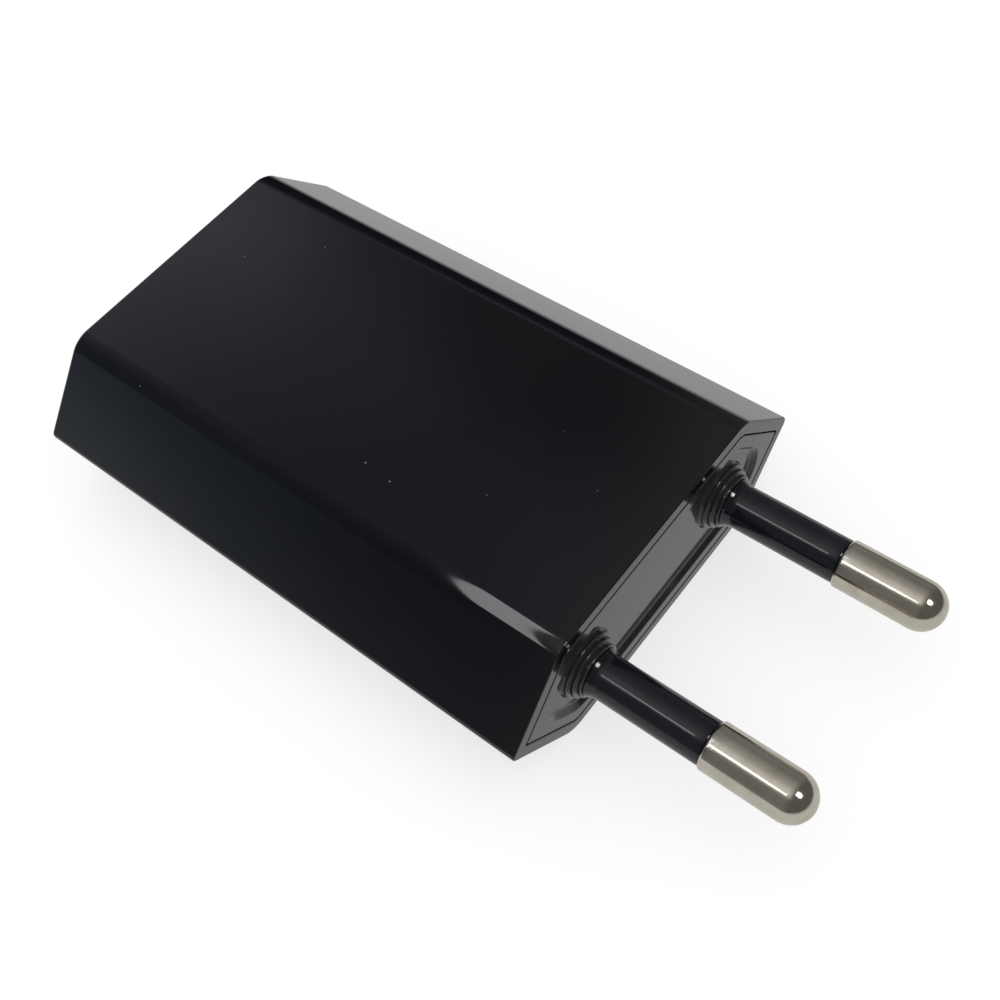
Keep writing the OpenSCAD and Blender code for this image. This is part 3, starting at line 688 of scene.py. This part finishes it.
def makeTongue():
    low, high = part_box("usb_insulator")
    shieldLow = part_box("usb_shield")[0]
    baseY = shieldLow.y + socket["baseAt"]
    tongueTop = midZ + usbHalfH - socket["tongueUp"]
    tongueLow = tongueTop - socket["tongueHigh"]
    armZ = tongueLow + socket["grooveDeep"] - socket["armDrop"]
    halfTongue = socket["tongueWide"] / 2
    piece = box("usbTongue", (-halfTongue, low.y, tongueLow), (halfTongue, baseY + mm, tongueTop),
        socket["tongueCorner"], 4)
    roundEdges(piece, atBack(low.y), socket["tipRound"], 4)
    for x in socket["contactX"]:
        groove = box("groove", (x - socket["grooveWide"] / 2, low.y + socket["grooveFrom"], tongueLow - mm),
            (x + socket["grooveWide"] / 2, baseY + 2 * mm, tongueLow + socket["grooveDeep"]))
        combine(piece, groove, "DIFFERENCE")
    base = box("base", (low.x, baseY, low.z), (high.x, high.y, high.z), socket["baseCorner"], 3)
    roundEdges(base, atBack(baseY), socket["baseRound"], 2)
    combine(piece, base, "UNION")
    for x in socket["contactX"]:
        way = box("way", (x - socket["armWide"] / 2, baseY - mm, armZ - socket["armHigh"] / 2),
            (x + socket["armWide"] / 2, high.y + mm, armZ + socket["armHigh"] / 2))
        combine(piece, way, "DIFFERENCE")
    tidyMesh(piece)
    finish(piece, "charger", "tongue_white", tongueWhite, "usb_insulator")
    print("tongue", len(piece.data.polygons), "faces")


# Materials of the parts on the board: a body with its own finish, and bright leads outside it

leadMetal, leadRough = (0.60, 0.60, 0.58), 0.28


def leadedPart(name, node, look):
    # body finish inside the node's box less its margins, bright tinned leads outside it
    material, tree, shader, coords = newMaterial(name)
    low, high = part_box(node)
    if look.get("noLeads"):
        corners = low - Vector((mm, mm, mm)), high + Vector((mm, mm, mm))
    else:
        # margins in millimetres: across, at the back, at the front and above the board
        across, back, front, rise = [value * mm for value in look["margins"]]
        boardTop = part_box("circuit_board")[1].z
        corners = ((low.x + across, low.y + back, boardTop + rise),
            (high.x - across, high.y - front, high.z + mm))
    inside = placeGroup(tree, insideGroup, Vector=coords, Low=corners[0], High=corners[1]).outputs["Inside"]
    marks = placeGroup(tree, marksGroup, Vector=coords, Smudge_Size=1.6)
    body = mixColour(tree, marks.outputs["Smudges"], colour(look["colour"]), colour(look["smudged"]))
    if "bands" in look:
        axis, stops = look["bands"]
        along = spread(tree, splitVector(tree, coords)[axis], low[axis], high[axis])
        for start, end, shade in stops:
            past = maths(tree, "GREATER_THAN", along, start)
            on = maths(tree, "MULTIPLY", past, maths(tree, "LESS_THAN", along, end))
            body = mixColour(tree, on, body, colour(shade))
    tree.links.new(mixColour(tree, inside, colour(leadMetal), body), shader.inputs["Base Color"])
    tree.links.new(maths(tree, "MULTIPLY_ADD", inside, -1.0, 1.0), shader.inputs["Metallic"])
    rough = smudgedRough(tree, marks, look["rough"])
    rough = addNode(tree, "ShaderNodeMix", None, at0=inside, at2=leadRough, at3=rough).outputs[0]
    tree.links.new(rough, shader.inputs["Roughness"])
    height = mouldHeight(tree, coords, (look.get("wave", 1.2), 0.6),
        (look.get("grain", 0.12), look.get("grainHeight", 0.4)))
    setNormal(tree, shader, height, 0.012)
    return material


def boardMaterial():
    # green mask with the weave of the glass cloth under it, darker tracks, bare laminate on the cut edges
    material, tree, shader, coords = newMaterial("boardGreen")
    weave = []
    for axis in (0, 1):
        band = addNode(tree, "ShaderNodeTexWave", {"bands_direction": "XY"[axis]}, Vector=coords, Scale=420.0,
            Distortion=0.6, Detail=1.0)
        weave.append(band.outputs["Fac"])
    cloth = maths(tree, "MAXIMUM", weave[0], weave[1])
    tracks = addNode(tree, "ShaderNodeTexVoronoi", {"feature": "DISTANCE_TO_EDGE", "distance": "EUCLIDEAN"},
        Vector=coords, Scale=260.0, Randomness=0.85)
    track = maths(tree, "LESS_THAN", tracks.outputs["Distance"], 0.09)
    mask = mixColour(tree, cloth, colour((0.014, 0.115, 0.045)), colour((0.020, 0.150, 0.062)))
    mask = mixColour(tree, track, mask, colour((0.010, 0.075, 0.034)))
    facing = splitVector(tree, addNode(tree, "ShaderNodeNewGeometry").outputs["Normal"])
    flat = maths(tree, "GREATER_THAN", maths(tree, "ABSOLUTE", facing[2]), 0.7)
    tree.links.new(mixColour(tree, flat, colour((0.42, 0.36, 0.16)), mask), shader.inputs["Base Color"])
    tree.links.new(addNode(tree, "ShaderNodeMix", None, at0=flat, at2=0.75, at3=0.26).outputs[0],
        shader.inputs["Roughness"])
    height = maths(tree, "ADD", maths(tree, "MULTIPLY", cloth, 0.25), track)
    setNormal(tree, shader, height, 0.012)
    return material


def windingMaterial():
    # turns of enamelled wire lying side by side along Y; the colour follows the same waves as the bump, dark
    # in the grooves between turns and bright on their crests, which is painted shade and painted highlight
    material, tree, shader, coords = newMaterial("copperWire")
    turns = addNode(tree, "ShaderNodeTexWave", {"bands_direction": "Y"}, Vector=coords, Scale=950.0,
        Distortion=0.4, Detail=1.0)
    marks = placeGroup(tree, marksGroup, Vector=coords, Smudge_Size=1.5)
    # painted shade and painted highlight: the wire colour is dark in the grooves between turns and bright on
    # their crests
    wire = mixColour(tree, turns.outputs["Fac"], colour((0.16, 0.045, 0.016)), colour((0.55, 0.20, 0.075)))
    wire = mixColour(tree, maths(tree, "MULTIPLY", marks.outputs["Smudges"], 0.4), wire,
        colour((0.40, 0.16, 0.06)))
    tree.links.new(wire, shader.inputs["Base Color"])
    shader.inputs["Metallic"].default_value = 0.8
    tree.links.new(smudgedRough(tree, marks, (0.22, 0.36)), shader.inputs["Roughness"])
    setNormal(tree, shader, turns.outputs["Fac"], 0.06)
    return material


bandBrown, bandGold, bandRed = (0.10, 0.035, 0.012), (0.45, 0.30, 0.07), (0.42, 0.02, 0.015)
bandBlack, bandYellow = (0.01, 0.01, 0.01), (0.55, 0.40, 0.03)

# Node name: material name and look; bands are an axis, then start, end and colour along the box
componentLooks = {
    "fusible_resistor": ("resistorGreen", dict(margins=(1.7, -1, -1, 0.05), colour=(0.13, 0.30, 0.18),
        smudged=(0.17, 0.36, 0.22), rough=(0.55, 0.7), grain=0.08, grainHeight=0.9,
        bands=(0, [(0.24, 0.28, (0.02, 0.02, 0.02)), (0.35, 0.39, bandBrown),
            (0.46, 0.50, (0.03, 0.03, 0.03)), (0.70, 0.74, bandGold)]))),
    "filter_choke": ("chokeGreen", dict(margins=(-1, 1.75, 1.75, 0.05), colour=(0.07, 0.26, 0.09),
        smudged=(0.10, 0.33, 0.12), rough=(0.16, 0.26), wave=0.9,
        bands=(1, [(0.24, 0.28, bandBrown), (0.33, 0.37, bandBlack), (0.42, 0.46, bandRed)]))),
    "start_resistor": ("startTan", dict(margins=(-1, 1.25, 1.25, 0.05), colour=(0.56, 0.40, 0.22),
        smudged=(0.62, 0.46, 0.27), rough=(0.3, 0.42),
        bands=(1, [(0.28, 0.34, bandBrown), (0.40, 0.46, bandBlack), (0.52, 0.58, bandYellow),
            (0.66, 0.71, bandGold)]))),
    "load_resistor": ("loadTan", dict(margins=(-1, 2.4, 2.4, 0.05), colour=(0.56, 0.40, 0.22),
        smudged=(0.62, 0.46, 0.27), rough=(0.3, 0.42),
        bands=(1, [(0.33, 0.37, bandRed), (0.42, 0.46, bandRed), (0.50, 0.54, bandBrown),
            (0.62, 0.66, bandGold)]))),
    "output_diode": ("diodeBlack", dict(margins=(-1, 2.15, 2.15, 0.05), colour=(0.022, 0.022, 0.023),
        smudged=(0.032, 0.032, 0.033), rough=(0.4, 0.55), bands=(1, [(0.27, 0.35, (0.55, 0.55, 0.54))]))),
    "bridge_rectifier": ("bridgeBlack", dict(margins=(-1, 0.92, 0.92, 0.05), colour=(0.022, 0.022, 0.023),
        smudged=(0.034, 0.034, 0.035), rough=(0.5, 0.65), grain=0.06, grainHeight=0.8)),
    "optocoupler": ("optoWhite", dict(margins=(-1, 0.92, 0.92, 0.05), colour=(0.70, 0.70, 0.66),
        smudged=(0.62, 0.62, 0.58), rough=(0.45, 0.6), grain=0.06, grainHeight=0.8)),
    "switching_transistor": ("transistorBlack", dict(margins=(-1, -1, -1, 1.58), colour=(0.020, 0.020, 0.021),
        smudged=(0.032, 0.032, 0.033), rough=(0.45, 0.6), grain=0.06, grainHeight=0.8)),
    "safety_capacitor": ("discBlue", dict(margins=(-1, -1, -1, 0.85), colour=(0.03, 0.11, 0.42),
        smudged=(0.045, 0.15, 0.50), rough=(0.22, 0.34), wave=1.6)),
    "chip_resistors": ("chipBlack", dict(noLeads=True, colour=(0.020, 0.020, 0.021),
        smudged=(0.034, 0.034, 0.036), rough=(0.35, 0.5))),
    "transformer_bobbin": ("bobbinBlack", dict(noLeads=True, colour=(0.024, 0.024, 0.025),
        smudged=(0.036, 0.036, 0.037), rough=(0.45, 0.6), grain=0.07, grainHeight=0.6)),
    "winding_tape": ("tapeYellow", dict(noLeads=True, colour=(0.66, 0.44, 0.035), smudged=(0.74, 0.50, 0.05),
        rough=(0.18, 0.3), wave=0.8)),
    "transformer_core_front": ("ferriteFront", dict(noLeads=True, colour=(0.050, 0.050, 0.055),
        smudged=(0.075, 0.073, 0.072), rough=(0.5, 0.68), grain=0.1, grainHeight=1.6)),
    "transformer_core_rear": ("ferriteRear", dict(noLeads=True, colour=(0.050, 0.050, 0.055),
        smudged=(0.075, 0.073, 0.072), rough=(0.5, 0.68), grain=0.1, grainHeight=1.6)),
    "front_input_capacitor": ("canFront", dict(margins=(-1, 0.12, 1.38, 0.05), colour=(0.018, 0.022, 0.045),
        smudged=(0.026, 0.030, 0.058), rough=(0.2, 0.32), bands=(0, [(0.05, 0.2, (0.42, 0.42, 0.44))]))),
    "rear_input_capacitor": ("canRear", dict(margins=(-1, 0.12, 1.38, 0.05), colour=(0.018, 0.022, 0.045),
        smudged=(0.026, 0.030, 0.058), rough=(0.2, 0.32), bands=(0, [(0.8, 0.95, (0.42, 0.42, 0.44))]))),
    "output_capacitor": ("canOutput", dict(margins=(-1, 0.12, 1.38, 0.05), colour=(0.014, 0.030, 0.085),
        smudged=(0.020, 0.042, 0.110), rough=(0.2, 0.32), bands=(0, [(0.8, 0.95, (0.50, 0.42, 0.20))]))),
}


# Every CAD node that stays gets its material and slightly broken edges

def dressNode(name, material, edge):
    piece = nodes[name]
    piece.data.materials.clear()
    piece.data.materials.append(material)
    weld = piece.modifiers.new("weld", "WELD")
    weld.merge_threshold = weldGap
    if edge:
        bevel = piece.modifiers.new("softEdges", "BEVEL")
        bevel.width = edge
        bevel.segments = 2
        bevel.limit_method = "ANGLE"
        bevel.angle_limit = math.radians(50)


def dressNodes():
    solder = metal("solderBright", dict(colour=(0.62, 0.62, 0.61), tarnish=(0.48, 0.48, 0.46),
        rough=(0.2, 0.34), smudge=1.2, wave=(0.5, 0.8), grain=(0.08, 0.2)))
    brass = metal("springBrass", dict(colour=(0.74, 0.52, 0.24), tarnish=(0.58, 0.38, 0.17),
        rough=(0.24, 0.38), smudge=1.4, wave=(1.0, 0.4), grain=(0.05, 0.2)))
    for name in ("usb_contact_arms", "usb_contact_tails"):
        dressNode(name, contactGold, 0.04 * mm)
    for name in ("upper_latch_fingers", "lower_latch_fingers"):
        dressNode(name, shieldTin, 0.06 * mm)
    for name in ("left_contact_spring", "right_contact_spring"):
        dressNode(name, brass, 0.05 * mm)
    for name in ("solder_joints", "transformer_terminals"):
        dressNode(name, solder, 0.04 * mm)
    dressNode("circuit_board", boardMaterial(), 0)
    dressNode("transformer_windings", windingMaterial(), 0.2 * mm)
    for name, (materialName, look) in componentLooks.items():
        dressNode(name, leadedPart(materialName, name, look), 0.08 * mm)
    print("CAD nodes dressed")


makeShield()
makeTongue()
dressNodes()


# Stage: pale floor, soft lights and the camera

target = Vector((1.22, 1.90, 6.85)) * mm


def towards(azimuth, elevation):
    a, e = math.radians(azimuth), math.radians(elevation)
    return Vector((math.sin(a) * math.cos(e), -math.cos(a) * math.cos(e), math.sin(e)))


def addCamera():
    look = dict(azimuth=138.68, elevation=56.03, distance=103.57 * mm, roll=12.33, lens=45.97)
    bpy.ops.object.camera_add()
    camera = bpy.context.active_object
    camera.name = "camera"
    back = towards(look["azimuth"], look["elevation"])
    right = (-back).cross(Vector((0, 0, 1))).normalized()
    up = right.cross(-back)
    roll = math.radians(look["roll"])
    up = math.cos(roll) * up + math.sin(roll) * right
    right = (-back).cross(up)
    turn = Matrix((right, up, back)).transposed()
    camera.matrix_world = Matrix.Translation(target + back * look["distance"]) @ turn.to_4x4()
    camera.data.lens = look["lens"]
    camera.data.sensor_width = 36
    camera.data.clip_start, camera.data.clip_end = 0.005, 20
    bpy.context.scene.camera = camera


def addPanel(name, direction, distance, size, power, shade=(1, 1, 1), glossy=True, diffuse=True):
    # soft rectangular light that faces the charger
    direction = Vector(direction).normalized()
    bpy.ops.object.light_add(type="AREA", location=target + direction * distance)
    light = bpy.context.active_object
    light.name = name
    light.rotation_mode = "QUATERNION"
    side = Vector((0, 1, 0)).cross(direction).normalized()
    turn = Matrix((side, direction.cross(side), direction)).transposed()
    light.rotation_quaternion = turn.to_quaternion()
    light.data.shape = "RECTANGLE"
    light.data.size, light.data.size_y = size
    light.data.energy = power
    light.data.color = shade
    light.visible_camera = False
    light.visible_glossy = glossy
    light.visible_diffuse = diffuse


def ramp(tree, value, stops):
    # colours at rising values
    node = addNode(tree, "ShaderNodeValToRGB", None, Fac=value)
    band = node.color_ramp
    band.elements[0].position, band.elements[1].position = stops[0][0], stops[-1][0]
    band.elements[0].color, band.elements[1].color = colour(stops[0][1]), colour(stops[-1][1])
    for position, shade in stops[1:-1]:
        band.elements.new(position).color = colour(shade)
    return node.outputs[0]


def softStep(tree, value, low, high, toLow=0.0, toHigh=1.0):
    node = addNode(tree, "ShaderNodeMapRange", {"interpolation_type": "SMOOTHSTEP"}, at0=value, at1=low,
        at2=high, at3=toLow, at4=toHigh)
    return node.outputs[0]


# Colours that gloss mirrors, at rising heights of a direction or turns about Y
room = dict(
    backWall=[(0.0, (0.02, 0.025, 0.05)), (0.3, (0.03, 0.04, 0.08)), (0.5, (0.10, 0.12, 0.18)),
        (0.62, (0.50, 0.53, 0.63)), (0.68, (0.52, 0.55, 0.64)), (0.72, (0.36, 0.37, 0.43)),
        (0.76, (0.24, 0.25, 0.29)), (0.82, (0.14, 0.155, 0.185)), (0.88, (0.17, 0.185, 0.24)),
        (1.0, (0.22, 0.23, 0.27))],
    window=[(0.0, (0.28, 0.31, 0.37)), (0.16, (0.36, 0.39, 0.44)), (0.215, (0.20, 0.23, 0.28)),
        (0.26, (0.12, 0.145, 0.20)), (0.4, (0.07, 0.085, 0.115)), (0.7, (0.09, 0.10, 0.12)),
        (1.0, (0.22, 0.23, 0.27))],
    front=[(0.0, (0.30, 0.30, 0.30)), (0.24, (0.13, 0.13, 0.125)), (0.306, (0.23, 0.23, 0.22)),
        (0.361, (0.19, 0.19, 0.185)), (0.417, (0.31, 0.31, 0.30)), (0.472, (0.43, 0.43, 0.42)),
        (0.525, (0.72, 0.72, 0.70)), (0.565, (0.80, 0.80, 0.78)), (0.60, (0.34, 0.335, 0.33)),
        (0.62, (0.20, 0.195, 0.19)), (0.73, (0.19, 0.185, 0.18)), (0.78, (0.40, 0.40, 0.39)),
        (1.0, (0.30, 0.30, 0.30))],
    frontFar=(0.13, 0.12, 0.115), behind=(0.50, 0.50, 0.52), pale=(0.93, 0.93, 0.93))


def dim(tree, shade, share):
    return addNode(tree, "ShaderNodeVectorMath", {"operation": "SCALE"}, Vector=shade, Scale=share).outputs[0]


def addWorld():
    # pale room for light and for the view; what gloss mirrors is a darker room with a bright back wall
    world = bpy.data.worlds.new("studio")
    bpy.context.scene.world = world
    world.use_nodes = True
    tree = world.node_tree
    tree.nodes.clear()
    output = addNode(tree, "ShaderNodeOutputWorld")
    path = addNode(tree, "ShaderNodeLightPath")
    facing = addNode(tree, "ShaderNodeTexCoord").outputs["Generated"]
    cloud = addNode(tree, "ShaderNodeTexNoise", None, Vector=facing, Scale=7.0, Detail=2.0)
    stirred = addNode(tree, "ShaderNodeVectorMath", {"operation": "MULTIPLY_ADD"},
        at0=cloud.outputs["Color"], at1=(0.07, 0.07, 0.05), at2=facing)
    x, y, z = splitVector(tree, stirred.outputs[0])
    backWall = ramp(tree, z, room["backWall"])
    wedge = softStep(tree, x, -0.43, -0.33, 0.45, 1.0)
    backWall = dim(tree, backWall, wedge)
    window = ramp(tree, z, room["window"])
    fall = softStep(tree, y, -0.66, -0.36, 1.2, 0.6)
    window = dim(tree, window, fall)
    dark = mixColour(tree, softStep(tree, x, -0.1, 0.4), backWall, window)
    turn = maths(tree, "ARCTAN2", x, z)
    front = ramp(tree, spread(tree, turn, -math.pi, math.pi), room["front"])
    front = mixColour(tree, softStep(tree, y, 0.0, 0.45), front, colour(room["frontFar"]))
    shade = mixColour(tree, softStep(tree, y, -0.37, -0.22), dark, front)
    shade = mixColour(tree, softStep(tree, y, -0.86, -0.70), colour(room["behind"]), shade)
    mirrored = addNode(tree, "ShaderNodeBackground", None, Color=shade, Strength=1.0)
    pale = addNode(tree, "ShaderNodeBackground", None, Color=colour(room["pale"]), Strength=1.0)
    mix = addNode(tree, "ShaderNodeMixShader", None, at0=path.outputs["Is Glossy Ray"], at1=pale.outputs[0],
        at2=mirrored.outputs[0])
    tree.links.new(mix.outputs[0], output.inputs[0])


floorLook = dict(size=4, gap=0.02 * mm, dark=(0.34, 0.34, 0.34), light=(0.36, 0.36, 0.36), glow=0.66,
    mirrored=[(0.0, (0.66, 0.66, 0.645)), (0.06, (0.66, 0.66, 0.645)), (0.16, (0.34, 0.34, 0.34)),
        (0.4, (0.10, 0.10, 0.11)), (1.0, (0.03, 0.035, 0.05))])


def addFloor():
    # matt pale board; what gloss mirrors of it is greyer, and darker far away
    startClean()
    bpy.ops.mesh.primitive_plane_add(size=floorLook["size"], location=(0, 0, cadBox[0].z - floorLook["gap"]))
    floor = bpy.context.active_object
    floor.name = "floor"
    material, tree, shader, coords = newMaterial("paleFloor")
    noise = addNode(tree, "ShaderNodeTexNoise", None, Vector=coords, Scale=6.0, Detail=3.0)
    shade = mixColour(tree, noise.outputs[0], colour(floorLook["dark"]), colour(floorLook["light"]))
    tree.links.new(shade, shader.inputs["Base Color"])
    shader.inputs["Roughness"].default_value = 0.9
    shader.inputs["Specular IOR Level"].default_value = 0.1
    shader.inputs["Emission Color"].default_value = colour((1, 1, 1))
    shader.inputs["Emission Strength"].default_value = floorLook["glow"]
    away = addNode(tree, "ShaderNodeVectorMath", {"operation": "LENGTH"}, at0=coords).outputs["Value"]
    mirrored = ramp(tree, away, floorLook["mirrored"])
    glow = addNode(tree, "ShaderNodeEmission", None, Color=mirrored, Strength=1.0)
    path = addNode(tree, "ShaderNodeLightPath")
    mix = addNode(tree, "ShaderNodeMixShader", None, at0=path.outputs["Is Glossy Ray"], at1=shader.outputs[0],
        at2=glow.outputs[0])
    output = [node for node in tree.nodes if node.type == "OUTPUT_MATERIAL"][0]
    tree.links.new(mix.outputs[0], output.inputs[0])
    floor.data.materials.append(material)


addCamera()
addWorld()
addFloor()
addPanel("topLight", (0, 0, 1), 0.7, (1.0, 1.0), 1.2, glossy=False)
addPanel("windowLight", (0.288, -0.365, 0.885), 0.6, (0.42, 0.05), 0.26, shade=(0.95, 0.98, 1.0),
    diffuse=False)
addPanel("lamp", (0.44, -0.17, 0.88), 0.6, (0.055, 0.15), 0.11, diffuse=False)
addPanel("frontLamp", (-0.05, 0.6, 0.8), 0.6, (0.14, 0.14), 1.1, diffuse=False)
bpy.context.scene.view_settings.view_transform = "Standard"
startClean()
print("stage made")
